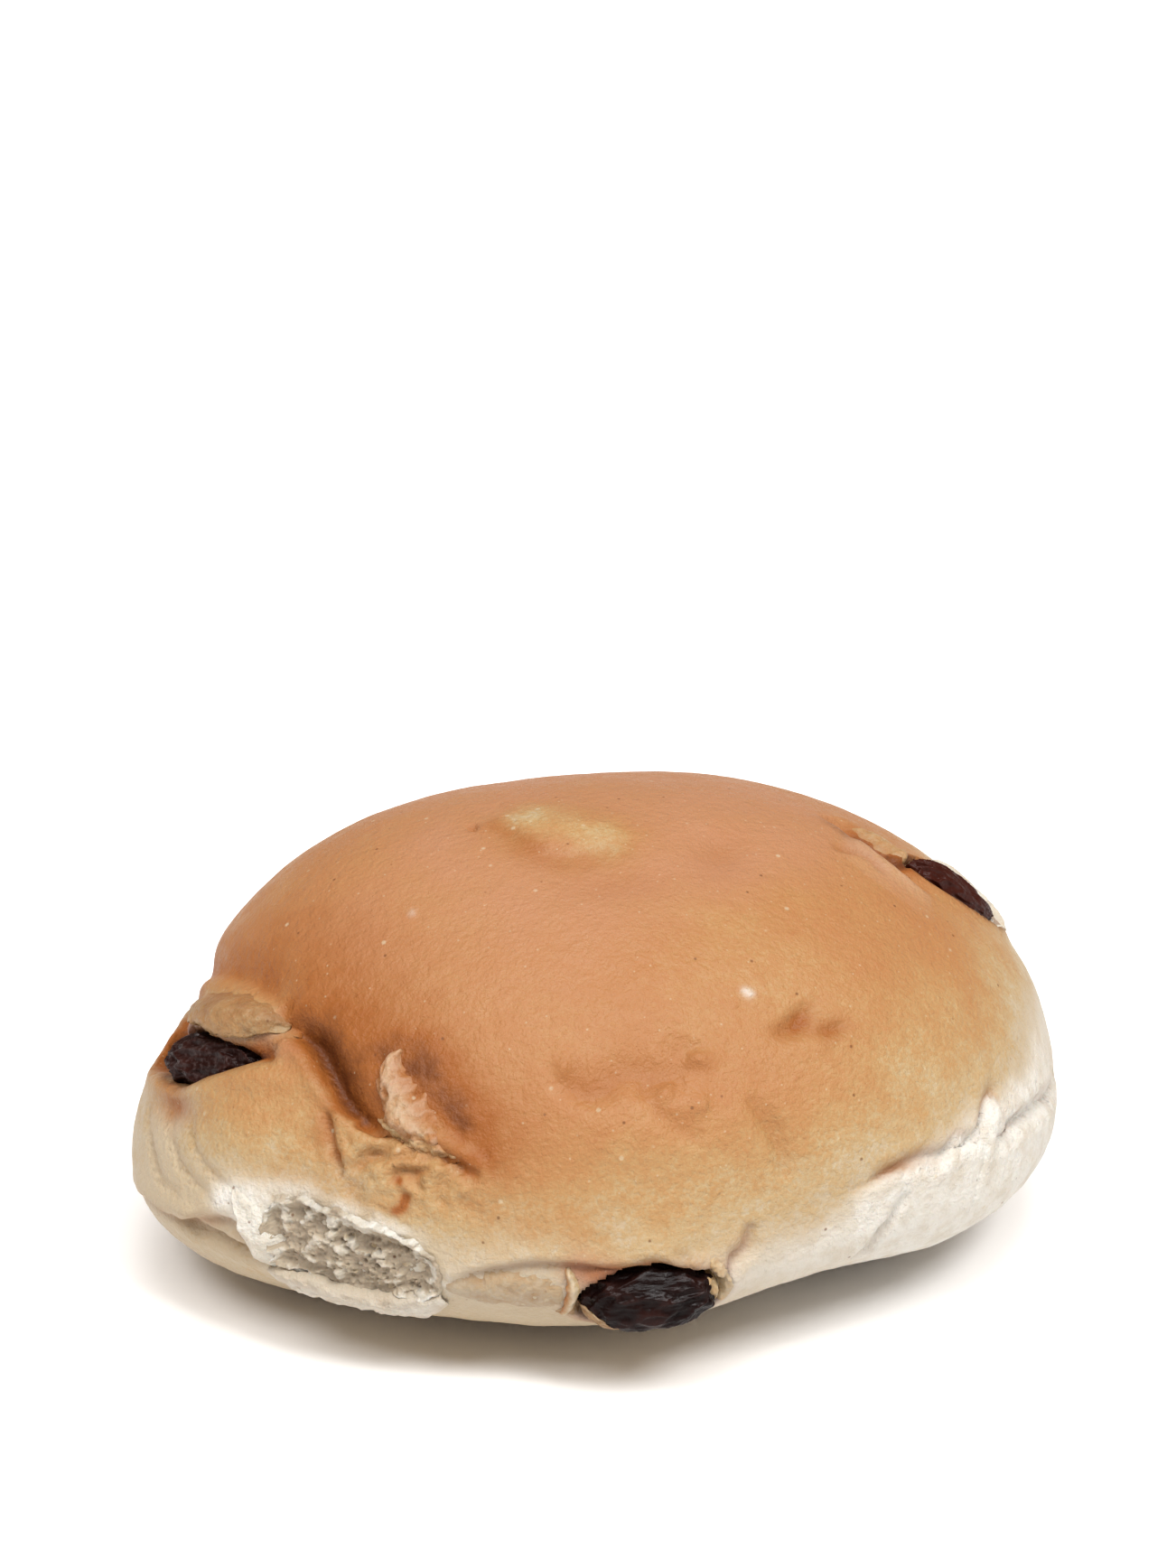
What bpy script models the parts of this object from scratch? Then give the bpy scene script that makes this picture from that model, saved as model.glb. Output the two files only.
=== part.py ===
"""Raisin roll: an oval bun of soft dough with raisins half buried in its crust.

The dough is one closed body that rests on a small flat spot. It swells outwards from a
point inside it, so its outside is one distance for each direction: a flattened oval,
plus broad swells, plus the creases, dents and bumps of the crust. Directions are given
as an azimuth (0 at +X, 90 at +Y) and an elevation above the level of the widest girth.
Each raisin is a solid of its own and sits in a pocket that is cut for it.
"""
from collections import namedtuple

import bmesh
import bpy
import numpy as np
from mathutils import Matrix, Vector

MM = 0.001

# The dough's oval, measured from the point that it swells from.
HALF_LENGTH = 47.5 * MM
HALF_DEPTH = 42.0 * MM
CROWN_HEIGHT = 33.0 * MM
KEEL_DEPTH = 17.0 * MM
GIRTH_HEIGHT = 14.5 * MM
ROUNDNESS = 2.0

# The underside is pressed flat on the baking tray, with this much rounding at its edge.
BASE_ROUNDING = 1.0 * MM

ROLL_CELLS = 24
RAISIN_CELLS = 7
POCKET_GAP = 0.35 * MM
SMOOTH_ANGLE = np.radians(40.0)

# A raisin's wrinkles run along it: how many go round, their share of its size, their twist
# along it in radians, and how far each raisin's own number turns them.
Wrinkle = namedtuple("Wrinkle", "count depth twist turn")
WRINKLES = [Wrinkle(5.0, 0.06, 2.2, 1.7), Wrinkle(3.0, 0.04, -3.1, -2.9)]
TIP_TAPER = 0.10

# Heights and depths are in millimetres, directions, spreads and widths in degrees. A crease
# follows its route and is deepest halfway along it.
Swell = namedtuple("Swell", "azimuth elevation height spread")
Crease = namedtuple("Crease", "route depth width")
Raisin = namedtuple("Raisin", "name azimuth elevation sink heading dive length width thickness seed")
Surface = namedtuple("Surface", "colour roughness metallic")

SWELLS = {
    "low_left_end": Swell(190, -12, 6.3, 22),
    "left_shoulder": Swell(178, 42, 2.0, 25),
    "front_undercut": Swell(290, -22, -4.2, 22),
    "right_front_foot": Swell(325, -18, 1.3, 22),
    "back_slope": Swell(90, 42, -1.6, 30),
    "crown_bump": Swell(215, 73, 0.7, 8),
    "crown_hollow": Swell(250, 66, -0.6, 10),
    "crown_dent": Swell(302, 64, -0.5, 6),
    "front_dent": Swell(288, 31, -0.9, 4.5),
    "left_lobe": Swell(205, 8, 1.2, 9),
    "torn_patch": Swell(222, 1, 0.9, 10),
    "front_bulge": Swell(266, -6, 0.8, 9),
    "back_left_swell": Swell(140, 12, 0.9, 16),
    "back_dent": Swell(70, 28, -0.8, 8),
}

CREASES = {
    "left_fold": Crease(
        [(155, 11), (168, 14), (182, 15), (194, 15), (204, 18), (212, 20), (220, 19), (230, 16), (242, 14)],
        3.6,
        5.0,
    ),
    "smile": Crease([(248, 27), (253, 24), (259, 24), (267, 27)], 0.9, 3.5),
    "front_notch": Crease([(272, -3), (274, 2), (276, 6)], 1.2, 3.0),
    "right_fold": Crease([(296, 8), (304, 8), (311, 7)], 1.1, 3.0),
    "right_tear": Crease([(313, 7), (325, 5), (336, 4)], 1.3, 3.0),
    "crown_fold": Crease([(352, 50), (355, 46), (350, 41), (354, 34), (356, 26)], 1.4, 5.0),
    "back_fold": Crease([(60, 10), (72, 14), (86, 12), (98, 15)], 1.2, 4.0),
}

RAISINS = [
    Raisin("raisin_left", 191.5, 13.5, 0.5, 22, 25, 13.0, 6.2, 6.0, 1),
    Raisin("raisin_front", 261.3, -3.0, 1.1, 6, 0, 12.2, 6.4, 6.6, 2),
    Raisin("raisin_right", 350.0, 29.6, 0.5, -70, -20, 12.0, 4.8, 4.8, 3),
    Raisin("raisin_back", 112.0, 26.0, 1.2, 35, 0, 10.6, 6.8, 5.6, 4),
    Raisin("raisin_back_low", 48.0, 4.0, 1.0, -25, 0, 11.6, 6.8, 6.0, 5),
]

CRUST = Surface((0.62, 0.33, 0.14, 1.0), 0.55, 0.0)
RAISIN_SKIN = Surface((0.035, 0.014, 0.010, 1.0), 0.35, 0.0)


def clear_scene():
    for item in list(bpy.data.objects):
        bpy.data.objects.remove(item, do_unlink=True)


def make_material(name, surface):
    material = bpy.data.materials.new(name)
    material.use_nodes = True
    shader = material.node_tree.nodes["Principled BSDF"]
    shader.inputs["Base Color"].default_value = surface.colour
    shader.inputs["Roughness"].default_value = surface.roughness
    shader.inputs["Metallic"].default_value = surface.metallic
    return material


def direction(azimuth, elevation):
    """The unit vector that points to an azimuth and an elevation, in degrees."""
    turn, lift = np.radians(azimuth), np.radians(elevation)
    return np.array([np.cos(lift) * np.cos(turn), np.cos(lift) * np.sin(turn), np.sin(lift)])


def angle_to(directions, target):
    """The angle in degrees from each direction to the target."""
    return np.degrees(np.arccos(np.clip(directions @ target, -1.0, 1.0)))


def angle_to_route(directions, route):
    """The angle in degrees from each direction to the nearest part of a route, and how far along it."""
    nearest = np.full(len(directions), np.inf)
    along = np.zeros(len(directions))
    points = [direction(*point) for point in route]
    for step, (start, end) in enumerate(zip(points, points[1:])):
        span = end - start
        part = np.clip((directions - start) @ span / (span @ span), 0.0, 1.0)
        offset = directions - (start + part[:, None] * span)
        angle = np.degrees(np.linalg.norm(offset, axis=1))
        closer = angle < nearest
        nearest = np.where(closer, angle, nearest)
        along = np.where(closer, (step + part) / (len(points) - 1), along)
    return nearest, along


def dough_radius(directions):
    """How far the dough reaches in each direction, before its base is pressed flat."""
    girth = np.hypot(directions[:, 0] / HALF_LENGTH, directions[:, 1] / HALF_DEPTH)
    height = np.where(directions[:, 2] > 0.0, CROWN_HEIGHT, KEEL_DEPTH)
    rise = np.abs(directions[:, 2]) / height
    radius = (girth ** ROUNDNESS + rise ** ROUNDNESS) ** (-1.0 / ROUNDNESS)
    for swell in SWELLS.values():
        angle = angle_to(directions, direction(swell.azimuth, swell.elevation))
        radius = radius + swell.height * MM * np.exp(-(angle / swell.spread) ** 2)
    for crease in CREASES.values():
        angle, along = angle_to_route(directions, crease.route)
        depth = crease.depth * MM * np.sqrt(np.clip(np.sin(np.pi * along), 0.0, 1.0))
        radius = radius - depth * np.exp(-(angle / crease.width) ** 2)
    return radius


def pressed_flat(height):
    """A height above the tray: unchanged well above it, exactly zero below it."""
    blend = np.clip(BASE_ROUNDING - np.abs(height), 0.0, None) / BASE_ROUNDING
    return np.maximum(height, 0.0) + blend ** 2 * BASE_ROUNDING / 4.0


def dough_points(directions):
    points = directions * dough_radius(directions)[:, None]
    points[:, 2] = pressed_flat(points[:, 2] + GIRTH_HEIGHT)
    return points


def ball_mesh(cells):
    """A closed ball of even quads: a gridded cube with its points pushed out to unit length."""
    ball = bmesh.new()
    bmesh.ops.create_cube(ball, size=2.0)
    bmesh.ops.subdivide_edges(ball, edges=ball.edges[:], cuts=cells - 1, use_grid_fill=True)
    for vert in ball.verts:
        spread = np.tan(np.array(vert.co) * np.pi / 4.0)
        vert.co = Vector(spread).normalized()
    return ball


def mesh_points(mesh):
    return np.array([tuple(vert.co) for vert in mesh.verts])


def move_points(mesh, points):
    for vert, point in zip(mesh.verts, points):
        vert.co = Vector(point)


def join_base(mesh):
    """Makes one flat face of all the faces that lie on the tray."""
    flat = [face for face in mesh.faces if all(vert.co.z == 0.0 for vert in face.verts)]
    bmesh.ops.dissolve_faces(mesh, faces=flat, use_verts=True)


def new_object(name, mesh, material, parent):
    data = bpy.data.meshes.new(name)
    bmesh.ops.recalc_face_normals(mesh, faces=mesh.faces[:])
    mesh.to_mesh(data)
    mesh.free()
    data.shade_smooth()
    data.set_sharp_from_angle(angle=SMOOTH_ANGLE)
    data.materials.append(material)
    made = bpy.data.objects.new(name, data)
    bpy.context.scene.collection.objects.link(made)
    made.parent = parent
    return made


def make_roll(material, parent):
    mesh = ball_mesh(ROLL_CELLS)
    move_points(mesh, dough_points(mesh_points(mesh)))
    join_base(mesh)
    return new_object("roll", mesh, material, parent)


def raisin_points(directions, raisin):
    """A dried berry: an egg that narrows at one end, with wrinkles along its length."""
    turn = np.arctan2(directions[:, 2], directions[:, 1])
    along = directions[:, 0]
    across = np.sqrt(np.clip(1.0 - along ** 2, 0.0, 1.0))
    size = 1.0 - TIP_TAPER * along * across
    for wrinkle in WRINKLES:
        phase = wrinkle.count * turn + wrinkle.twist * along + wrinkle.turn * raisin.seed
        size = size + wrinkle.depth * across * np.sin(phase)
    half = np.array([raisin.length, raisin.width, raisin.thickness]) * MM / 2.0
    return directions * half * size[:, None]


def raisin_place(raisin):
    """A raisin's middle and axes. Its length lies along the crust, and its front tip dives into it."""
    outward = direction(raisin.azimuth, raisin.elevation)
    surface = dough_points(outward[None, :])[0]
    east = np.array([-outward[1], outward[0], 0.0])
    east /= np.linalg.norm(east)
    north = np.cross(outward, east)
    heading = np.radians(raisin.heading)
    length = np.cos(heading) * east + np.sin(heading) * north
    width = np.cross(outward, length)
    axes = Matrix((length, width, outward)).transposed().to_4x4()
    middle = Vector(surface - outward * raisin.sink * MM)
    return Matrix.Translation(middle) @ axes @ Matrix.Rotation(np.radians(raisin.dive), 4, "Y")


def make_raisin(raisin, material, parent):
    mesh = ball_mesh(RAISIN_CELLS)
    move_points(mesh, raisin_points(mesh_points(mesh), raisin))
    return new_object(raisin.name, mesh, material, parent)


def make_pocket_cutter(berry, parent):
    """The raisin's own shape grown by the gap that it needs around it."""
    mesh = bmesh.new()
    mesh.from_mesh(berry.data)
    mesh.normal_update()
    grown = [vert.co + vert.normal * POCKET_GAP for vert in mesh.verts]
    move_points(mesh, grown)
    cutter = new_object(berry.name + "_pocket", mesh, berry.data.materials[0], parent)
    cutter.hide_render = True
    cutter.display_type = "WIRE"
    return cutter


def cut_pocket(roll, cutter):
    cut = roll.modifiers.new(cutter.name, "BOOLEAN")
    cut.operation = "DIFFERENCE"
    cut.solver = "EXACT"
    cut.object = cutter


def centre_over_origin(anchor, pieces):
    """Moves the anchor so that the middle of the whole roll stands over the origin."""
    bpy.context.view_layer.update()
    corners = [piece.matrix_world @ vert.co for piece in pieces for vert in piece.data.vertices]
    for axis in (0, 1):
        places = [corner[axis] for corner in corners]
        anchor.location[axis] -= (min(places) + max(places)) / 2.0


def build():
    clear_scene()
    anchor = bpy.data.objects.new("dough_centre", None)
    bpy.context.scene.collection.objects.link(anchor)
    crust = make_material("crust", CRUST)
    raisin_skin = make_material("raisin_skin", RAISIN_SKIN)
    roll = make_roll(crust, anchor)
    pieces = [roll]
    for raisin in RAISINS:
        berry = make_raisin(raisin, raisin_skin, anchor)
        cutter = make_pocket_cutter(berry, anchor)
        berry.matrix_local = raisin_place(raisin)
        cutter.matrix_local = raisin_place(raisin)
        cut_pocket(roll, cutter)
        pieces.append(berry)
    centre_over_origin(anchor, pieces)


build()
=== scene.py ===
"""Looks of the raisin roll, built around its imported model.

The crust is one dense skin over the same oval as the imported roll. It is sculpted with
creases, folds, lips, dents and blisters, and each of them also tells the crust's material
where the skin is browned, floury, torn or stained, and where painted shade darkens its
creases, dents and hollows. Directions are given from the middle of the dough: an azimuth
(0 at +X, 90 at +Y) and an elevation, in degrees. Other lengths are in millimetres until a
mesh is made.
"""

from collections import namedtuple

import bpy
import numpy as np
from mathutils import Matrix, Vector, noise
from mathutils.bvhtree import BVHTree


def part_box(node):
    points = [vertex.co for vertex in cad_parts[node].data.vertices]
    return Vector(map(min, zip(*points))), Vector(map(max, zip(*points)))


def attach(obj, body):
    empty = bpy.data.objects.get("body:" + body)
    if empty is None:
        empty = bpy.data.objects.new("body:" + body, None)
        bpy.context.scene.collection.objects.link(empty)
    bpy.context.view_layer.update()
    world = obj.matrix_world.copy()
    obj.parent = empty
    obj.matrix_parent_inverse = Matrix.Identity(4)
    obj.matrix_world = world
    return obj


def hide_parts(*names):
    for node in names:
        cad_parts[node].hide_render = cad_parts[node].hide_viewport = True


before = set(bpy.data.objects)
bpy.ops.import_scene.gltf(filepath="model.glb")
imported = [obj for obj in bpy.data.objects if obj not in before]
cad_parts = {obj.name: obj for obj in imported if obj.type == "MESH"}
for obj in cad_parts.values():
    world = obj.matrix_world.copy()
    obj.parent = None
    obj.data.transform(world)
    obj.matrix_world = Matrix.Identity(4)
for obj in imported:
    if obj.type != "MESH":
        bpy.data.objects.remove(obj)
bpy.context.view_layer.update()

MM = 0.001

# -------- the dough's own shape

# Half sizes of the dough's oval, and the height of its middle.
HALF_LENGTH = 47.5
HALF_DEPTH = 42.0
CROWN_HEIGHT = 33.0
KEEL_DEPTH = 17.0
GIRTH_HEIGHT = 14.5
BASE_ROUNDING = 1.0

# The skin's points lie closer together on the side that the photo shows.
SKIN_CELLS = 128
DENSE_SIDE = (236, 4)
DENSE_PULL = 0.36

# A broad rise (or hollow) of the dough, with its spread in degrees.
Swell = namedtuple("Swell", "azimuth elevation height spread")

SWELLS = [
    Swell(190, -12, 6.3, 22),
    Swell(178, 42, 2, 25),
    Swell(290, -22, -4.2, 22),
    Swell(325, -18, 1.3, 22),
    Swell(90, 42, -1.6, 30),
    Swell(250, 66, -0.6, 10),
    Swell(302, 64, -0.5, 6),
    Swell(205, 8, 1.2, 9),
    Swell(222, 1, 0.9, 10),
    Swell(266, -6, 0.8, 9),
    Swell(140, 12, 0.9, 16),
    Swell(70, 28, -0.8, 8),
]


def direction(azimuth, elevation):
    turn, lift = np.radians(azimuth), np.radians(elevation)
    return np.array([np.cos(lift) * np.cos(turn), np.cos(lift) * np.sin(turn), np.sin(lift)])


def angles_of(directions):
    """Azimuth from 0 to a full turn, and elevation, in radians."""
    azimuth = np.arctan2(directions[:, 1], directions[:, 0]) % (2.0 * np.pi)
    return np.array([azimuth, np.arcsin(np.clip(directions[:, 2], -1.0, 1.0))])


def unit(rows):
    return rows / np.maximum(np.linalg.norm(rows, axis=-1, keepdims=True), 1e-9)


def level_and_up(facing):
    """The level and the rising axis of the skin where it faces a direction."""
    east = unit(np.array([-facing[1], facing[0], 0.0]))
    return east, np.cross(facing, east)


def smooth(low, high, values):
    """0 below low, 1 above high, and a soft step between them."""
    part = np.clip((values - low) / (high - low), 0.0, 1.0)
    return part * part * (3.0 - 2.0 * part)


def bell(values, width, middle=0.0):
    """1 at the middle, falling softly away over a width."""
    return np.exp(-((values - middle) / width) ** 2)


def grid_quads(ids, flip):
    corners = [ids[:-1, :-1], ids[1:, :-1], ids[1:, 1:], ids[:-1, 1:]]
    if flip:
        corners.reverse()
    return np.stack(corners, -1).reshape(-1, 4)


def ball(cells):
    """Unit directions and quads of a gridded cube pushed out to a ball."""
    index, points, quads = {}, [], []
    ticks = np.tan(np.linspace(-1.0, 1.0, cells + 1) * np.pi / 4.0)
    for axis in range(3):
        for side in (-1, 1):
            ids = np.empty((cells + 1, cells + 1), dtype=int)
            for i in range(cells + 1):
                for j in range(cells + 1):
                    key = [0, 0, 0]
                    key[axis] = cells if side > 0 else 0
                    key[(axis + 1) % 3] = i
                    key[(axis + 2) % 3] = j
                    key = tuple(key)
                    if key not in index:
                        index[key] = len(points)
                        points.append([ticks[k] for k in key])
                    ids[i, j] = index[key]
            quads.append(grid_quads(ids, side < 0))
    return unit(np.array(points)), np.concatenate(quads)


def normals_of(points, quads):
    a, b, c, d = (points[quads[:, k]] for k in range(4))
    faces = np.cross(c - a, d - b)
    total = np.zeros_like(points)
    for k in range(4):
        for axis in range(3):
            total[:, axis] += np.bincount(quads[:, k], faces[:, axis], len(points))
    return unit(total)


def dough_radius(directions):
    girth = np.hypot(directions[:, 0] / HALF_LENGTH, directions[:, 1] / HALF_DEPTH)
    height = np.where(directions[:, 2] > 0.0, CROWN_HEIGHT, KEEL_DEPTH)
    radius = 1.0 / np.hypot(girth, directions[:, 2] / height)
    for swell in SWELLS:
        facing = np.clip(directions @ direction(swell.azimuth, swell.elevation), -1.0, 1.0)
        angle = np.degrees(np.arccos(facing))
        radius = radius + swell.height * bell(angle, swell.spread)
    return radius


def pressed_flat(height):
    """Heights above the surface that the roll stands on: exactly zero where it is pressed flat."""
    blend = np.clip(BASE_ROUNDING - np.abs(height), 0.0, None) / BASE_ROUNDING
    return np.maximum(height, 0.0) + blend ** 2 * BASE_ROUNDING / 4.0


# -------- routes over the skin

# Points near a route: their side of it in mm (above or left is positive), how far along it they
# lie from 0 to 1, and the way to it.
Near = namedtuple("Near", "rows side along toward")

# Points far from a route are left out: its reach is taken at this radius.
SEARCH_RADIUS = 30.0
WIDEST_SEARCH = 3.1


def spline(route, steps=6):
    """Directions along a smooth curve through a route's points."""
    points = np.array([direction(*point) for point in route])
    padded = np.vstack([2 * points[0] - points[1], points, 2 * points[-1] - points[-2]])
    found = []
    for k in range(len(points) - 1):
        p0, p1, p2, p3 = padded[k:k + 4]
        for t in np.arange(steps) / steps:
            found.append(0.5 * (2 * p1 + (p2 - p0) * t + (2 * p0 - 5 * p1 + 4 * p2 - p3) * t ** 2
                                + (3 * p1 - p0 - 3 * p2 + p3) * t ** 3))
    found.append(points[-1])
    return unit(np.array(found))


def noise_at(points, size, seed=0.0, detail=2):
    """Soft noise from about -1 to 1, with features of the given size."""
    shift = Vector((seed * 17.1, -seed * 9.7, seed * 5.3))
    rows = points / size
    return np.array([noise.fractal(Vector(row) + shift, 1.0, 2.0, detail) for row in rows])


class Skin:
    """The crust while it is sculpted: its points, and how strongly each finish shows at them."""

    MASKS = ("bake", "caramel", "flour", "crumb", "stain_and_shade", "rosy_and_sheen")

    def __init__(self, cells):
        rows, self.quads = ball(cells)
        self.directions = unit(rows + DENSE_PULL * direction(*DENSE_SIDE))
        self.radius = dough_radius(self.directions)
        self.points = self.directions * self.radius[:, None]
        self.points[:, 2] += GIRTH_HEIGHT
        self.masks = {name: np.zeros(len(self.points)) for name in self.MASKS}
        self.refresh()

    def refresh(self):
        self.normals = normals_of(self.points, self.quads)

    def near(self, route, reach, wobble=0.0, seed=1.0):
        """The points within reach of a route, its line made to wander by wobble mm."""
        line = spline(route)
        middle = unit(line.mean(0))
        span = np.arccos(np.clip((line @ middle).min(), -1, 1)) + reach / SEARCH_RADIUS
        rows = np.nonzero(self.directions @ middle > np.cos(min(span, WIDEST_SEARCH)))[0]
        here = self.directions[rows]
        best = np.full(len(rows), np.inf)
        side = np.zeros(len(rows))
        along = np.zeros(len(rows))
        toward = np.zeros((len(rows), 3))
        for k, (start, end) in enumerate(zip(line, line[1:])):
            step = end - start
            part = np.clip((here - start) @ step / (step @ step), 0.0, 1.0)
            offset = here - (start + part[:, None] * step)
            gap = np.linalg.norm(offset, axis=1)
            closer = gap < best
            best = np.where(closer, gap, best)
            sign = np.sign(offset @ np.cross(start, step))
            side = np.where(closer, gap * np.where(sign == 0, 1, sign), side)
            along = np.where(closer, (k + part) / (len(line) - 1), along)
            toward = np.where(closer[:, None], -offset, toward)
        side = side * self.radius[rows]
        if wobble:
            side = side + wobble * noise_at(self.points[rows], 3.0, seed)
        keep = np.abs(side) < reach
        return Near(rows[keep], side[keep], along[keep], unit(toward[keep]))

    def push(self, rows, outward, sideways=None):
        self.points[rows] += self.normals[rows] * outward[:, None]
        if sideways is not None:
            self.points[rows] += sideways

    def paint(self, name, rows, amount):
        mask = self.masks[name]
        mask[rows] = np.clip(mask[rows] + amount, 0.0, 1.0)


# -------- creases, lips and dents

# A crease: its depth, half widths above and below the route, rims beside it, how much its sides
# draw together, how much it wanders, and the caramel and painted shade in it.
Groove = namedtuple("Groove", "route depth above below rim_above rim_below pinch wobble caramel")

# An oval swelling, or a dent where the height is negative, its length turned from level.
Bump = namedtuple("Bump", "azimuth elevation height length width turn")

GROOVES = {
    "raisin_fold": Groove([(150, 8), (163, 10), (175, 10), (184, 11), (190, 12.2), (194.5, 14.6),
        (198.5, 17.2), (202, 19), (205.5, 20.2)], 3.2, 2.2, 1.6, 0, 0.7, 0.15, 0.2, 0.28),
    "flap_crease": Groove([(168, 15), (175, 19), (183, 23.4), (190, 25.6), (197, 26), (202, 24.8)], 0.8,
        2.6, 1.2, 0, 0.2, 0.1, 0.3, 0.22),
    "dome_crease": Groove([(201, 22.8), (204, 23.2), (207, 23.2), (210, 22.4), (212.5, 21.1), (215, 19.6),
        (217.5, 18.1), (220.5, 16.9), (225, 16.8)], 2.4, 2, 0.7, 0, 0.5, 0.12, 0.2, 0.42),
    "lobe_crease": Groove([(216, 16.5), (217.3, 14.8), (218.6, 13), (220.3, 10.8), (221.2, 9)], 0.8, 0.6,
        0.5, 0.25, 0.15, 0.2, 0.1, 0.22),
    "under_flake": Groove([(220.5, 16.2), (224, 15.6), (228, 15.3), (232, 14.6), (236, 13.4),
        (239, 12.6)], 1.1, 0.8, 0.9, 0.5, 0.1, 0.3, 0.5, 0.4),
    "right_fold": Groove([(293, 7.4), (296, 8), (300, 8.4), (304, 7.9), (308, 7.6), (312, 7.2),
        (313.6, 9), (316, 11.4), (319, 12.2)], 0.7, 1, 0.6, 0.3, 0.2, 0.3, 0.4, 0.16),
    "right_tear": Groove([(314.5, 6), (319.4, 5.9), (324.7, 5.4), (329.9, 4.7), (337, 3.3), (345, 3.4)],
        1.5, 1, 0.9, 0.3, 0.2, 0.3, 0.25, 0.55),
    "right_diagonal": Groove([(293, -6), (293.9, -3.5), (294.9, -0.3), (296.1, 1.8), (298.4, 4.8)], 0.95,
        0.8, 0.6, 0.25, 0.2, 0.2, 0.75, 0.3),
    "front_notch": Groove([(270.4, -5), (271.4, -2.4), (272.7, 0.3), (274.2, 2.6), (275.6, 5.4)], 0.95,
        0.9, 0.8, 0.25, 0.2, 0.2, 0.7, 0.3),
    "terrace": Groove([(247.5, 28.5), (249.4, 25.8), (250.6, 24.4), (252.6, 23.4), (255.1, 24.2),
        (256.6, 25.6), (259.4, 26.1), (262.4, 25.6), (265, 25.1), (266.3, 26.3), (267.4, 27.8),
        (268.6, 29.7), (269.6, 31.2)], 0.7, 2.4, 1.3, 0, 0.18, 0, 0.55, 0.12),
    "terrace_fold": Groove([(259.5, 24.6), (261.4, 22.6), (263.4, 20.7), (266.2, 19), (268.8, 17.8)],
        0.45, 1.3, 1, 0.1, 0, 0, 0.45, 0.12),
    "front_slope": Groove([(276.2, 22.4), (277.3, 19.9), (278.2, 18.2), (279, 16.3), (279.6, 14.1),
        (279.9, 11)], 0.65, 1.5, 0.8, 0.2, 0, 0, 0.4, 0.14),
    "lobe_wrinkle": Groove([(191, 8.6), (194.4, 6.3), (197.1, 4.7), (200.7, 3.5), (204.7, 2.8)], 0.34,
        0.6, 0.5, 0.1, 0.15, 0, 0.6, 0.05),
    "lobe_wrinkle_in": Groove([(197, 9.6), (199.4, 7.6), (202.2, 6), (205.4, 5), (208.6, 4.7)], 0.3, 0.6,
        0.5, 0.1, 0.15, 0, 0.6, 0.05),
    "lobe_wrinkle_out": Groove([(185.6, 6.2), (189, 4.4), (191.5, 2.9), (195.5, 1.4), (200.4, 0.2)], 0.36,
        0.7, 0.5, 0.1, 0.15, 0, 0.6, 0.05),
    "low_fold": Groove([(198, -2.2), (201.6, -2.5), (205.4, -2.6), (208.8, -3.3), (211.6, -4.6)], 1.3, 1,
        1, 0.35, 0.3, 0.1, 0.3, 0.1),
    "crown_fold": Groove([(356, 52), (351, 50), (348, 47.5), (345.8, 45), (343.5, 42.6), (341.5, 40)],
        1.5, 1.8, 1.2, 0.2, 0.4, 0.1, 0.3, 0.45),
    "crown_fold_side": Groove([(335, 51.5), (337.4, 48.8), (338.6, 46.6), (337.4, 44.6), (335.6, 42.8)],
        0.6, 0.9, 0.8, 0, 0.2, 0.1, 0.2, 0.35),
    "back_fold": Groove([(58, 9), (66, 12), (76, 13.5), (88, 12), (100, 15)], 1.3, 1.8, 1.2, 0.3, 0.3,
        0.2, 0.3, 0.3),
    "back_pull": Groove([(70, -6), (76, -2), (84, 1.5), (93, 3)], 0.7, 0.9, 0.7, 0.2, 0.2, 0.1, 0.5,
        0.16),
    "back_pull_low": Groove([(104, -9), (111, -5), (121, -3.5), (130, -5)], 0.8, 0.9, 0.7, 0.2, 0.2, 0.1,
        0.5, 0.14),
    "end_wrinkle": Groove([(12, -6), (18, -1), (27, 2), (36, 1)], 0.7, 0.8, 0.7, 0.2, 0.2, 0.1, 0.5,
        0.14),
    "back_tear": Groove([(118, 7), (126, 8.5), (135, 8), (144, 9.5)], 1.2, 1.4, 0.9, 0.3, 0.2, 0.2, 0.3,
        0.3),
}

# A torn or folded edge: the skin on one side of the route stands proud of the other, most at the
# edge itself, and may be floury. The hollow below the proud side gets painted shade.
Edge = namedtuple("Edge", "route height spread upper_side sharpness wobble floury")

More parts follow.
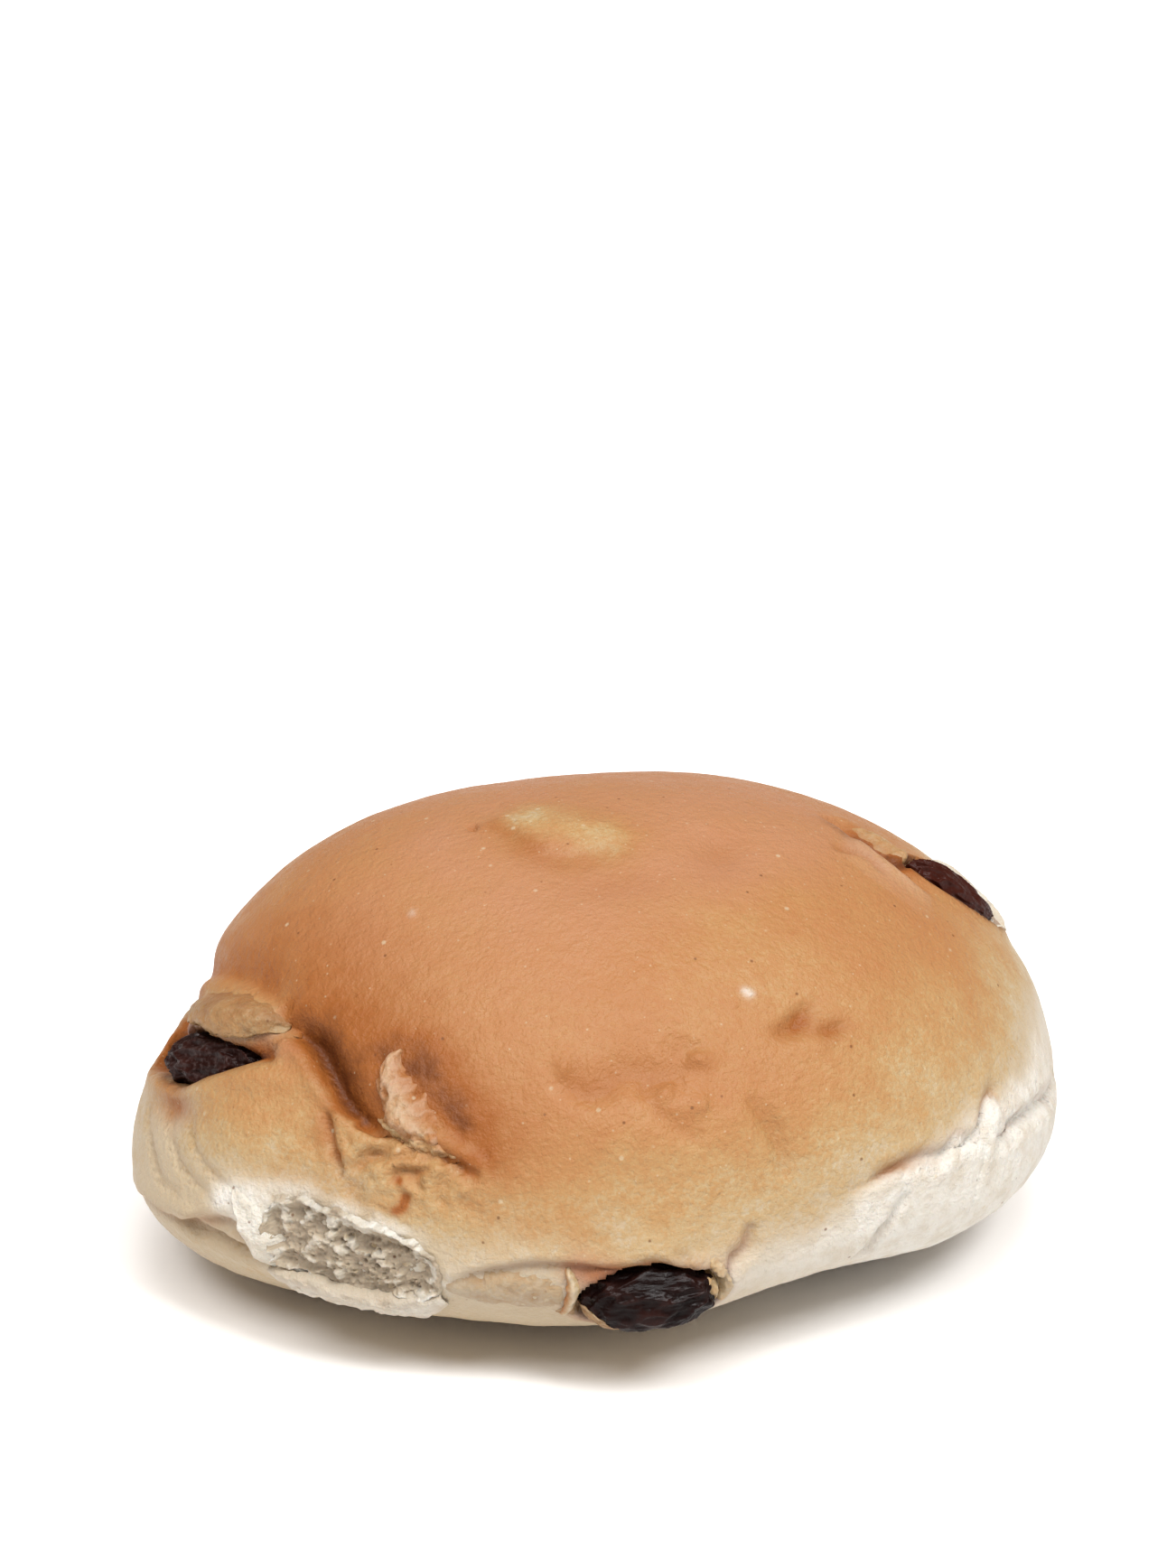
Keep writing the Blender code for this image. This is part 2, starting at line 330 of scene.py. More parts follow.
EDGES = {
    "white_tear": Edge([(289.5, 6.4), (292.9, 7.1), (296, 7.5), (299.5, 7.1), (304.4, 6.2), (306.4, 7.7),
        (307.9, 9.1), (309.4, 8.5), (310.6, 7.6), (312.4, 8.3), (313.8, 9), (314.8, 10.8), (316.8, 11.2),
        (317.3, 8.8), (318.2, 6.7), (322.9, 6), (328.3, 5.6), (334.5, 4.8), (344, 5)], 0.75, 3.5, False,
        0.3, 0.25, 1),
    "front_lip": Edge([(235.5, -1.6), (238.1, 0.2), (240.5, 1.1), (243, 1.8), (247.3, 2.5), (251.7, 2.4),
        (255, 2.1), (258.4, 2.3), (262.2, 2.8), (265.2, 1.6), (267.4, 0.8), (269.6, 1.4)], 0.9, 2.6, True,
        0.35, 0.15, 0),
    "channel_lip": Edge([(343.5, 50.5), (343.1, 47.6), (341.5, 45), (339.7, 42.5), (339.4, 40),
        (338.6, 37.4), (339, 35)], 0.6, 1.6, False, 0.45, 0.15, 0.16),
    "crown_bump_edge": Edge([(192, 66), (205, 67.6), (219.6, 66.4), (234.1, 67), (247.6, 69.5),
        (262, 73)], 0.4, 5, True, 1.1, 0.25, 0),
    "left_under_fold": Edge([(186, -3.5), (192, -2.4), (197.8, -1.8), (201.9, -0.9), (205.4, 0.8),
        (208.2, 1.2), (210.2, -1), (211.2, -4.2)], 1.1, 2.5, True, 0.45, 0.25, 0),
    "back_tear_edge": Edge([(34, 10), (44, 13), (52, 10), (61, 14), (70, 11), (79, 13), (88, 9.5),
        (97, 12), (106, 9)], 0.55, 3, False, 0.35, 0.5, 0.9),
}

# Each finish laid softly along routes, over what the crust is like there: a route, its reach in mm
# to each side, and how much more (or less) of the finish shows there.
TINTS = {
    # Caramel: the crust's browning on the walls and in the wound, and painted shade along the creases, in
    # the dents and terrace hollows, and under the crown bump's lower edge.
    "caramel": [
        ([(206, 25.2), (208.5, 24.4), (211, 23.4), (215, 21.2), (219, 19.4), (222.5, 18.8)], 1.4, 0.14),
        ([(206, 28), (210, 26.4), (214, 24), (219, 21.8), (223, 21.2)], 3.4, 0.2),
        ([(180, 25), (190, 29), (200, 31), (211, 29), (219, 25)], 6, 0.15),
        ([(224.5, 27), (228, 26.5), (231, 24.8), (234.5, 22.3), (237.5, 18.5), (239, 15.5)], 2.6, 0.44),
        ([(228, 24.5), (231.5, 21.5), (235, 18.5)], 1.9, 0.28),
        ([(240, 22), (243, 16)], 3.4, 0.13),
        ([(194, 33), (204, 34.5), (212, 33), (218, 29.5)], 5.5, 0.17),
        ([(241, 8.5), (247, 8), (254, 7.5)], 2.8, 0.07),
        # Painted shade along the dome crease.
        ([(207, 22.9), (210, 22.2), (212.5, 20.9), (215, 19.4), (217.5, 17.9), (220.5, 16.8)], 0.75, 0.45),
        ([(229.8, 8.6), (229.6, 7.4), (228.9, 6.9)], 0.5, 0.62),
        ([(228.4, 10.6), (229, 10.3)], 0.35, 0.5),
        ([(216, 15), (219.3, 11.6)], 1.1, 0.2),
        ([(350, 46.5), (347.5, 43.5), (344.5, 40.5)], 1.6, 0.5),
        ([(252, 1), (255.5, 0.6)], 1.3, 0.4),
        ([(318.5, 6), (324.7, 5.8)], 0.8, 0.35),
        ([(295.5, 8.2), (303, 8.6)], 0.9, 0.18),
        # Painted shade in the front dents and the terrace hollows.
        ([(289, 31.4), (288, 30.8)], 1, 0.25),
        ([(293.8, 28.8), (292.4, 28.4)], 1.1, 0.22),
        ([(249.4, 26.3), (252, 24.9), (254.6, 25.1)], 1.1, 0.15),
        ([(257, 26.9), (261.5, 26.6)], 1, 0.1),
        ([(269.2, 27.2), (270.6, 27.4)], 0.8, 0.14),
        # Painted shadow along the crown bump's lower-left edge.
        ([(196, 66), (208, 67), (222, 66)], 1, 0.22),
        ([(213, 8.2), (219, 7.6), (226, 7.4)], 1.6, 0.07),
        ([(212, 26), (216, 23.8), (220, 22.4), (223, 23)], 3.2, 0.16),
        ([(230.5, 21.4), (234, 19.6)], 1.3, 0.22),
        ([(200, 20.4), (206, 20.8)], 1.1, 0.12),
        ([(199.5, 18.6), (202, 19.4)], 0.8, 0.45),
    ],
    "stain_and_shade": [
        ([(349.5, 51.2), (345, 49.2)], 1.3, 0.42),
        ([(264.5, 3.7), (265.5, 3.4)], 0.6, 0.22),
    ],
    "rosy_and_sheen": [
        ([(252, 1.4), (256, 1)], 1.6, 0.8),
        ([(201, 21), (207, 21.3)], 1.4, 0.9),
        ([(199, 40), (215, 44), (235, 48)], 9, 0.45),
        ([(210, 71), (250, 73)], 5, -1),
        ([(283, 42), (293, 38), (303, 41)], 6.5, -0.6),
    ],
    "bake": [
        ([(200, 71), (213, 69.5), (236, 70.5), (252, 70)], 3.2, -0.5),
        ([(205, 74.5), (250, 75)], 3.4, -0.36),
        ([(283, 42), (292, 34), (301, 38)], 8, -0.26),
        ([(201, 12.5), (212, 14.3), (217.5, 9.5)], 4, 0.13),
        ([(341, 50), (339.5, 44), (336, 38)], 1.6, -0.16),
        ([(187, 19), (194, 21), (201, 22.5)], 2.6, -0.75),
        ([(1.5, 30), (359.5, 25.5), (355.5, 21)], 3, -0.4),
    ],
    "flour": [
        ([(281, 36.9), (281.4, 36.7)], 0.5, 0.8),
        ([(209.8, 44.8), (210.2, 44.6)], 0.35, 0.3),
        ([(86, 66), (88, 66)], 0.5, 0.6),
        ([(270, -3), (277, -2), (285, -1), (293, 0)], 3.4, 0.35),
        ([(206, 3.4), (212, 5.8), (217, 6.6)], 1.1, 0.45),
        ([(1.5, 30), (359.5, 25.5), (355.5, 21)], 2, 0.5),
        ([(218, 6), (226, 5.2), (232, 3.6)], 0.9, 0.2),
        ([(208.5, 3.2), (211.5, 1), (213, -3)], 2.2, 0.9),
        ([(237, -1.5), (246, 0.5), (254, -3), (262, -5)], 3, 0.22),
    ],
}

BUMPS = {
    "raisin_flap": Bump(194, 20.5, 1.2, 4.2, 1.8, 18),
    "left_back_hollow": Bump(171, 13, -5.4, 7.5, 4.2, 0),
    "raisin_front_lip": Bump(192.5, 8.6, -0.9, 4.2, 1.6, 15),
    "lobe_ridge": Bump(206, 17.4, 0.8, 4.6, 1.5, 12),
    "pink_fold": Bump(205.4, 20.8, 0.45, 2.4, 1.1, 8),
    "crown_bump": Bump(232, 74, 0.6, 6, 3.2, 0),
    "crown_hole": Bump(191.8, 63.2, -0.9, 0.75, 0.4, 0),
    "crown_hole_bump": Bump(196.5, 64.5, 0.25, 1.4, 0.9, 0),
    "crown_dent": Bump(302, 64, -0.25, 4.5, 2.4, 20),
    "crown_dent_low": Bump(258, 60, -0.22, 5.5, 2.2, 10),
    "front_dent": Bump(288, 31.1, -0.85, 2.5, 1, 25),
    "front_dent_right": Bump(293.2, 28.7, -0.55, 2.3, 0.8, -5),
    "front_dent_left": Bump(284, 30.7, -0.28, 1.3, 0.7, 0),
    "front_dent_ridge": Bump(291, 30, 0.15, 0.8, 0.8, 0),
    "front_dent_rim": Bump(290, 27.4, 0.25, 3.6, 1, 0),
    "blister_left": Bump(248.5, 27.5, 0.8, 1.1, 0.75, 60),
    "blister_left_low": Bump(249.4, 26.2, 0.22, 0.6, 0.6, 0),
    "blister_right": Bump(269.6, 28.3, 0.85, 1.1, 0.7, 10),
    "terrace_peak": Bump(264.3, 24.2, 0.65, 1.1, 0.5, 35),
    "terrace_blister": Bump(268.9, 22.4, 0.6, 1, 0.7, 40),
    "terrace_swell": Bump(259, 19, 0.8, 8, 3.8, 0),
    "terrace_swell_right": Bump(273, 17, 0.3, 4, 3.5, 0),
    "slope_swell": Bump(274.5, 20.5, 0.3, 2.2, 2, 0),
    "left_lobe_swell": Bump(206, 11, 0.6, 7, 3.5, 10),
}

# Measures of a groove, in its half widths.
RIM_OFFSET = 1.45
RIM_WIDTH = 0.9
GROOVE_REACH = 2.6
PAINT_ABOVE = 1.2
PAINT_BELOW = 0.6
NARROWEST_SEARCH = 1.4

# How gently grooves and edges end, the cosine within which a bump moves the skin, and the painted
# shade in a dent 1 mm deep.
GROOVE_END = 0.35
EDGE_END = 0.4
BUMP_FACING = 0.86
DENT_PAINTED_SHADE = 0.45


def toward_ends(along, power):
    """1 in the middle of a route, and 0 at its ends."""
    return np.sin(np.pi * np.clip(along, 0.0, 1.0)) ** power


def carve_groove(skin, groove):
    reach = GROOVE_REACH * max(groove.above, groove.below, NARROWEST_SEARCH)
    near = skin.near(groove.route, reach, groove.wobble, groove.depth)
    width = np.where(near.side > 0, groove.above, groove.below)
    fade = toward_ends(near.along, GROOVE_END)
    well = bell(near.side, width)
    rim = np.where(near.side > 0, groove.rim_above, groove.rim_below)
    crest = bell(np.abs(near.side), RIM_WIDTH * width, RIM_OFFSET * width)
    outward = fade * (rim * crest - groove.depth * well)
    pull = near.toward * (fade * groove.pinch * np.abs(near.side) * well)[:, None]
    skin.push(near.rows, outward, pull)
    # Darkest in the groove's bottom and up its upper wall: caramel and painted shade.
    painted = np.where(near.side > 0, PAINT_ABOVE * groove.above, PAINT_BELOW * groove.below)
    skin.paint("caramel", near.rows, groove.caramel * fade * bell(near.side, painted))


def raise_bump(skin, bump):
    facing = direction(bump.azimuth, bump.elevation)
    rows = np.nonzero(skin.directions @ facing > BUMP_FACING)[0]
    east, up = level_and_up(facing)
    across = skin.directions[rows] * skin.radius[rows][:, None]
    turn = np.radians(bump.turn)
    u = across @ (np.cos(turn) * east + np.sin(turn) * up)
    v = across @ (np.cos(turn) * up - np.sin(turn) * east)
    dome = np.exp(-(u / bump.length) ** 2 - (v / bump.width) ** 2)
    skin.push(rows, bump.height * dome)
    # A dent is darkened: painted shade.
    if bump.height < 0:
        skin.paint("caramel", rows, -DENT_PAINTED_SHADE * bump.height * dome)


def raise_edge(skin, edge):
    near = skin.near(edge.route, 3.0 * edge.spread, edge.wobble, edge.spread)
    side = near.side if edge.upper_side else -near.side
    fade = toward_ends(near.along, EDGE_END)
    step = smooth(-edge.sharpness, edge.sharpness, side)
    proud = step * np.exp(-np.clip(side, 0.0, None) / edge.spread)
    under = bell(side, 1.6 * edge.sharpness, -1.2 * edge.sharpness)
    skin.push(near.rows, fade * (edge.height * proud - 0.35 * edge.height * under))
    # Painted shade in the hollow below the proud side.
    skin.paint("caramel", near.rows, 0.18 * fade * under)
    skin.paint("flour", near.rows, edge.floury * fade * proud ** 0.5)
    skin.paint("bake", near.rows, -0.8 * edge.floury * fade * proud ** 0.5)


def lay_tint(skin, mask, route, reach, amount):
    near = skin.near(route, 2.5 * reach, 0.35 * reach, reach)
    skin.paint(mask, near.rows, amount * bell(near.side, reach))


def add_unevenness(skin):
    """Slow swells of the dough, the faint cobbling of a baked skin and the torn lumps at the left."""
    slow = noise_at(skin.points, 16.0, 2.0, 2)
    small = noise_at(skin.points, 3.4, 4.0, 3)
    fine = noise_at(skin.points, 1.3, 6.0, 2)
    lumpy = 1.0 - 2.5 * np.abs(noise_at(skin.points, 3.0, 5.0, 3))
    standing = smooth(0.5, 3.0, skin.points[:, 2])
    low = smooth(32.0, 10.0, skin.points[:, 2])
    azimuth, elevation = np.degrees(angles_of(skin.directions))
    torn = np.exp(-((azimuth - 230.0) / 10.0) ** 2 - ((elevation - 12.5) / 4.5) ** 2)
    # The hollows between the torn lumps are darkened: painted shade.
    skin.paint("caramel", slice(None), 0.22 * torn * (0.45 - lumpy))
    relief = 0.26 * slow + (0.05 + 0.05 * low) * small + (0.018 + 0.02 * low) * fine + torn * lumpy
    skin.push(np.arange(len(skin.points)), standing * relief)


# -------- where the skin is baked

# Azimuth and elevation of the line below which the crust stayed pale.
PALE_LINE = [
    (0, 16), (30, 15), (60, 11), (90, 13), (120, 10), (150, 4), (180, 4), (195, 7), (210, 5),
    (232, 1), (250, 0), (264, 0), (277, 2), (289, 5), (300, 9), (310, 11), (320, 11), (336, 13),
    (360, 16),
]


def facing_side(azimuth, towards, spread):
    """1 where an azimuth points towards a side, and less as it turns away."""
    return bell((azimuth - towards + 180.0) % 360.0 - 180.0, spread)


def brown_the_crust(skin):
    """Deep brown on the crown, honey lower down, and pale where the roll touched its neighbours."""
    azimuth, elevation = np.degrees(angles_of(skin.directions))
    ragged = 1.6 * noise_at(skin.points, 6.0, 7.0, 3) + 0.8 * noise_at(skin.points, 1.8, 8.0, 2)
    above = elevation - np.interp(azimuth, *zip(*PALE_LINE)) + ragged
    skin.masks["bake"] = np.clip(smooth(-3.0, 28.0, above), 0, 1)
    floury = np.maximum(facing_side(azimuth, 318.0, 38.0), 0.8 * facing_side(azimuth, 80.0, 70.0))
    skin.masks["flour"] = np.clip(smooth(1.5, -3.5, above) * floury, 0, 1)
    # The crown takes a lighter, pinker tone: the crust's own colour with painted sheen from the light
    # above.
    crown = smooth(38.0, 62.0, elevation + 4.0 * noise_at(skin.points, 14.0, 9.0, 2))
    skin.masks["rosy_and_sheen"] = crown


# -------- raisins

# A raisin from the imported one: cells along a side, depth and number of wrinkles, dust (also a
# painted highlight), growth, rise in mm, russet tone, and taper to one end.
Berry = namedtuple("Berry", "name cells wrinkle folds seed bloom grow rise russet taper")

BERRIES = [
    Berry("raisin_left", 56, 0.25, 2.1, 3.0, 0.48, 1.14, 0.0, 0.30, 0.0),
    Berry("raisin_front", 64, 0.17, 1.4, 11.0, 0.03, 1.10, -0.5, 0.0, 0.1),
    Berry("raisin_right", 48, 0.20, 1.5, 8.0, 0.02, 1.18, 0.2, 1.0, 0.42),
    Berry("raisin_back", 48, 0.20, 1.8, 7.0, 0.25, 1.0, 0.0, 0.3, 0.1),
    Berry("raisin_back_low", 48, 0.18, 1.7, 9.0, 0.25, 1.0, 0.0, 0.1, 0.0),
]
SEAT_GAP = 0.30

# The rim of skin round a raisin, in raisin radii but for its height in mm.
RIM_HEIGHT = 0.35
RIM_MIDDLE = 1.12
RIM_SPREAD = 0.16
RIM_END = 1.6


def berry_frame(berry):
    """A raisin's middle, axes (as rows) and half sizes in mm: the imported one's, raised and grown."""
    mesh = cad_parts[berry.name].data
    points = np.empty(len(mesh.vertices) * 3)
    mesh.vertices.foreach_get("co", points)
    points = points.reshape(-1, 3) / MM
    middle = (points.min(0) + points.max(0)) / 2.0
    axes = np.linalg.svd(points - points.mean(0), full_matrices=False)[2]
    if axes[0, 0] < 0:
        axes[0] = -axes[0]
    if np.linalg.det(axes) < 0:
        axes[2] = -axes[2]
    local = (points - middle) @ axes.T
    middle = middle + ((local.min(0) + local.max(0)) / 2.0) @ axes
    half = (local.max(0) - local.min(0)) / 2.0
    return middle + np.array([0.0, 0.0, berry.rise]), axes, half * berry.grow


def seat_berry(skin, berry):
    """Presses the skin back round a raisin, and lifts a small rim where it parts over it."""
    middle, axes, half = berry_frame(berry)
    grown = half + SEAT_GAP
    local = (skin.points - middle) @ axes.T / grown
    inward = -skin.directions @ axes.T / grown
    reach = np.linalg.norm(local, axis=1)
    inside = np.nonzero(reach < 1.0)[0]
    a = (inward[inside] ** 2).sum(1)
    b = (local[inside] * inward[inside]).sum(1)
    c = reach[inside] ** 2 - 1.0
    travel = (-b + np.sqrt(np.maximum(b * b - a * c, 0.0))) / a
    rim = np.nonzero((reach >= 1.0) & (reach < RIM_END))[0]
    skin.push(rim, RIM_HEIGHT * bell(reach[rim], RIM_SPREAD, RIM_MIDDLE))
    skin.points[inside] -= skin.directions[inside] * travel[:, None]
    skin.paint("caramel", rim, 0.28 * bell(reach[rim], 0.22, 1.0))
    skin.paint("stain_and_shade", inside, 0.7 * np.ones(len(inside)))
    skin.paint("stain_and_shade", rim, 0.5 * bell(reach[rim], 0.10, 1.0))


def berry_points(berry, middle, axes, half):
    """A dried berry's skin: it collapses into broad hollows, with sharp folds between them."""
    rows, quads = ball(berry.cells)
    grain = rows * np.array([0.75, 1.0, 1.0])
    hollow = noise_at(grain, 1.1, berry.seed, 1)
    fold = 1.0 - np.abs(noise_at(grain, 0.50, berry.seed + 1.0, 2)) * berry.folds
    crinkle = 1.0 - np.abs(noise_at(grain, 0.20, berry.seed + 2.0, 2)) * 2.0
    fold_height = np.clip(fold, 0.0, 1.0)
    size = 1.0 + 0.10 * hollow - berry.wrinkle * (1.0 - fold_height) ** 0.8 * 0.8
    size += 0.020 * crinkle
    squashed = np.sign(rows) * np.abs(rows) ** 0.92
    points = squashed * size[:, None]
    points /= np.abs(points).max(0)
    points[:, 1:] *= 1.0 - berry.taper * np.clip(0.5 + 0.5 * points[:, :1], 0.0, 1.0)
    return points * half @ axes + middle, quads, fold_height


# -------- materials


class Graph:
    """Short calls for a material's nodes."""

    def __init__(self, name):
        self.material = bpy.data.materials.new(name)
        self.material.use_nodes = True
        self.tree = self.material.node_tree
        self.shader = self.tree.nodes["Principled BSDF"]
        self.place = self.tree.nodes.new("ShaderNodeTexCoord").outputs["Object"]

    def link(self, source, socket):
        self.tree.links.new(source, socket)

    def feed(self, socket, value):
        """Gives a socket a number or a colour, or links it to another socket."""
        if isinstance(value, (int, float)):
            socket.default_value = value
        elif isinstance(value, tuple):
            socket.default_value = (*value, 1.0)
        else:
            self.link(value, socket)

    def set(self, **values):
        for name, value in values.items():
            self.shader.inputs[name.replace("_", " ")].default_value = value

    def attribute(self, name):
        node = self.tree.nodes.new("ShaderNodeAttribute")
        node.attribute_name = name
        return node.outputs["Fac"]

    def texture(self, kind, size, location):
        """A texture with features of a size in mm, moved to a location."""
        node = self.tree.nodes.new(kind)
        node.inputs["Scale"].default_value = 1.0 / (size * MM)
        moved = self.tree.nodes.new("ShaderNodeMapping")
        moved.inputs["Location"].default_value = location
        self.link(self.place, moved.inputs["Vector"])
        self.link(moved.outputs["Vector"], node.inputs["Vector"])
        return node

    def noise(self, size, detail=3.0, roughness=0.55, shift=0.0):
        node = self.texture("ShaderNodeTexNoise", size, (shift, shift * 0.7, -shift))
        node.inputs["Detail"].default_value = detail
        node.inputs["Roughness"].default_value = roughness
        return node.outputs["Fac"]

    def dots(self, speck):
        shift = speck.shift
        node = self.texture("ShaderNodeTexVoronoi", speck.size, (shift, -shift, shift * 0.3))
        round_dots = self.span(node.outputs["Distance"], speck.edge, speck.core)
        return self.maths("MULTIPLY", round_dots, self.span(node.outputs["Color"], *speck.chosen))

    def maths(self, operation, a, b, clamp=False):
        node = self.tree.nodes.new("ShaderNodeMath")
        node.operation = operation
        node.use_clamp = clamp
        self.feed(node.inputs[0], a)
        self.feed(node.inputs[1], b)
        return node.outputs[0]

    def span(self, value, low, high, to_low=0.0, to_high=1.0):
        """Maps low..high onto to_low..to_high, softly and clamped."""
        node = self.tree.nodes.new("ShaderNodeMapRange")
        node.interpolation_type = "SMOOTHSTEP"
        self.link(value, node.inputs["Value"])
        limits = {"From Min": low, "From Max": high, "To Min": to_low, "To Max": to_high}
        for name, number in limits.items():
            node.inputs[name].default_value = number
        return node.outputs["Result"]

    def ramp(self, value, stops):
        node = self.tree.nodes.new("ShaderNodeValToRGB")
        self.link(value, node.inputs["Fac"])
        elements = node.color_ramp.elements
        while len(elements) < len(stops):
            elements.new(0.5)
        for element, (position, colour) in zip(elements, stops):
            element.position = position
            element.color = (*colour, 1.0)
        return node.outputs["Color"]

    def mix(self, amount, first, second):
        """Colour first, with colour second laid over it by amount."""
        node = self.tree.nodes.new("ShaderNodeMix")
        node.data_type = "RGBA"
        for index, value in ((0, amount), (6, first), (7, second)):
            self.feed(node.inputs[index], value)
        return node.outputs[2]

    def bump(self, height, depth, under=None):
        """Bends the shading by a height from 0 to 1 that stands for a depth in mm."""
        node = self.tree.nodes.new("ShaderNodeBump")
        node.inputs["Distance"].default_value = depth * MM
        node.inputs["Strength"].default_value = 1.0
        self.link(height, node.inputs["Height"])
        if under is not None:
            self.link(under, node.inputs["Normal"])
        return node.outputs["Normal"]


# Colours are how the lit crust should look; the light is this bright, and adds this much sheen.
LIGHT_LEVEL = 1.80
SHEEN = 0.024


def albedo(colour):
    return tuple(max(channel - SHEEN, 0.3 * channel) / LIGHT_LEVEL for channel in colour)


BAKE_COLOURS = [
    (0.00, (0.72, 0.575, 0.385)),
    (0.12, (0.69, 0.495, 0.265)),
    (0.32, (0.66, 0.40, 0.18)),
    (0.62, (0.63, 0.325, 0.135)),
    (1.00, (0.61, 0.280, 0.115)),
]
# Lighter pink of the crown: crust colour with painted sheen; also the rosy skin of folds and flakes.
ROSY_AND_SHEEN = (0.67, 0.335, 0.185)
# Amber and dark caramel: the crust's browning, also used as painted shade in creases, dents and hollows.
AMBER_AND_SHADE = (0.47, 0.165, 0.050)
CARAMEL_AND_SHADE = (0.205, 0.070, 0.022)
FLOUR = (1.08, 1.04, 0.95)
CRUMB = (0.56, 0.46, 0.34)
# Stain of raisin juice, also used as painted shade in the crumb's pits.
STAIN_AND_SHADE = (0.075, 0.028, 0.024)
PALE_SPECK = (0.86, 0.72, 0.50)
DARK_SPECK = (0.20, 0.075, 0.03)

# Round dots in some cells of the crust: the cells' size in mm, a dot's edge and core in cells,
# which cells have one, and how strongly it shows.
Speck = namedtuple("Speck", "size shift edge core chosen strength colour")

SPECKS = [
    Speck(2.6, 0.3, 0.13, 0.05, (0.62, 0.66), 0.55, PALE_SPECK),
    Speck(1.0, 0.9, 0.16, 0.05, (0.60, 0.64), 0.40, PALE_SPECK),
    Speck(2.1, 0.6, 0.11, 0.04, (0.60, 0.64), 0.70, DARK_SPECK),
]

# Raisins are so dark that these are plain base colours.
RAISIN_COLOURS = [
    (0.0, (0.002, 0.0007, 0.0006)),
    (0.6, (0.006, 0.0018, 0.0015)),
    (1.0, (0.020, 0.0060, 0.0045)),
]
RUSSET = (0.045, 0.008, 0.004)
# Grey bloom on the raisins' skin, used partly as painted highlight.
BLOOM_AND_HIGHLIGHT = (0.085, 0.058, 0.055)


def make_crust_material():
    g = Graph("baked_crust")
    bake = g.attribute("bake")
    caramel = g.attribute("caramel")
    flour = g.attribute("flour")
    crumb = g.attribute("crumb")
    broad = g.noise(9.0, 3.0)
    mottle = g.noise(2.2, 4.0, 0.6, shift=0.1)
    grain = g.noise(0.45, 3.0, 0.6, shift=0.2)
    uneven = g.maths("ADD", g.span(broad, 0.3, 0.7, -0.15, 0.11), g.span(mottle, 0.3, 0.7, -0.10, 0.08))
    uneven = g.maths("ADD", uneven, g.span(grain, 0.25, 0.75, -0.16, 0.13))
    uneven = g.maths("MULTIPLY", uneven, g.span(bake, 0.0, 0.45, 0.45, 1.0))
    baked = g.maths("ADD", bake, uneven, clamp=True)
    colour = g.ramp(baked, [(at, albedo(tone)) for at, tone in BAKE_COLOURS])
    # Painted sheen on the crown, and rosy crust on folds and flakes.
    rosy_and_sheen = g.maths("MULTIPLY", g.attribute("rosy_and_sheen"), g.span(broad, 0.2, 0.8, 0.45, 1.0))
    colour = g.mix(rosy_and_sheen, colour, albedo(ROSY_AND_SHEEN))
    # Amber, then dark caramel: the crust's browning, and painted shade in its creases, dents and hollows.
    deep = g.maths("MULTIPLY", caramel, g.span(mottle, 0.2, 0.8, 0.8, 1.15), clamp=True)
    colour = g.mix(g.maths("MULTIPLY", deep, 2.0, clamp=True), colour, albedo(AMBER_AND_SHADE))
    colour = g.mix(g.span(deep, 0.45, 1.0), colour, albedo(CARAMEL_AND_SHADE))
    floury = g.maths("MULTIPLY", flour, g.span(mottle, 0.3, 0.62, 0.60, 1.0), clamp=True)
    colour = g.mix(floury, colour, albedo(FLOUR))
    open_crumb = g.maths("MULTIPLY", crumb, g.span(caramel, 0.0, 0.2, 1.0, 0.72))
    colour = g.mix(open_crumb, colour, albedo(CRUMB))
    # Raisin stain, and painted shade in the crumb's pits and low places.
    stain_and_shade = g.maths("MULTIPLY", g.attribute("stain_and_shade"), g.span(mottle, 0.3, 0.6, 0.5, 1.0), clamp=True)
    colour = g.mix(stain_and_shade, colour, albedo(STAIN_AND_SHADE))
    for speck in SPECKS:
        shown = g.maths("MULTIPLY", g.dots(speck), speck.strength)
        colour = g.mix(shown, colour, albedo(speck.colour))
    g.link(colour, g.shader.inputs["Base Color"])
    rough = g.maths("ADD", g.span(mottle, 0.3, 0.7, 0.46, 0.56), g.maths("MULTIPLY", flour, 0.25))
    rough = g.maths("ADD", rough, g.maths("MULTIPLY", crumb, 0.35), clamp=True)
    g.link(rough, g.shader.inputs["Roughness"])
    fine = g.bump(grain, 0.16)
    pores = g.bump(g.noise(1.1, 3.0, 0.6, shift=0.4), 0.24, fine)
    floury_pits = g.maths("MULTIPLY", g.noise(0.8, 4.0, 0.65, shift=0.7), flour)
    g.link(g.bump(floury_pits, 0.35, pores), g.shader.inputs["Normal"])
    g.set(Specular_IOR_Level=0.26, Subsurface_Weight=0.10, Subsurface_Scale=0.0012)
    g.shader.inputs["Subsurface Radius"].default_value = (1.0, 0.45, 0.22)
    return g.material


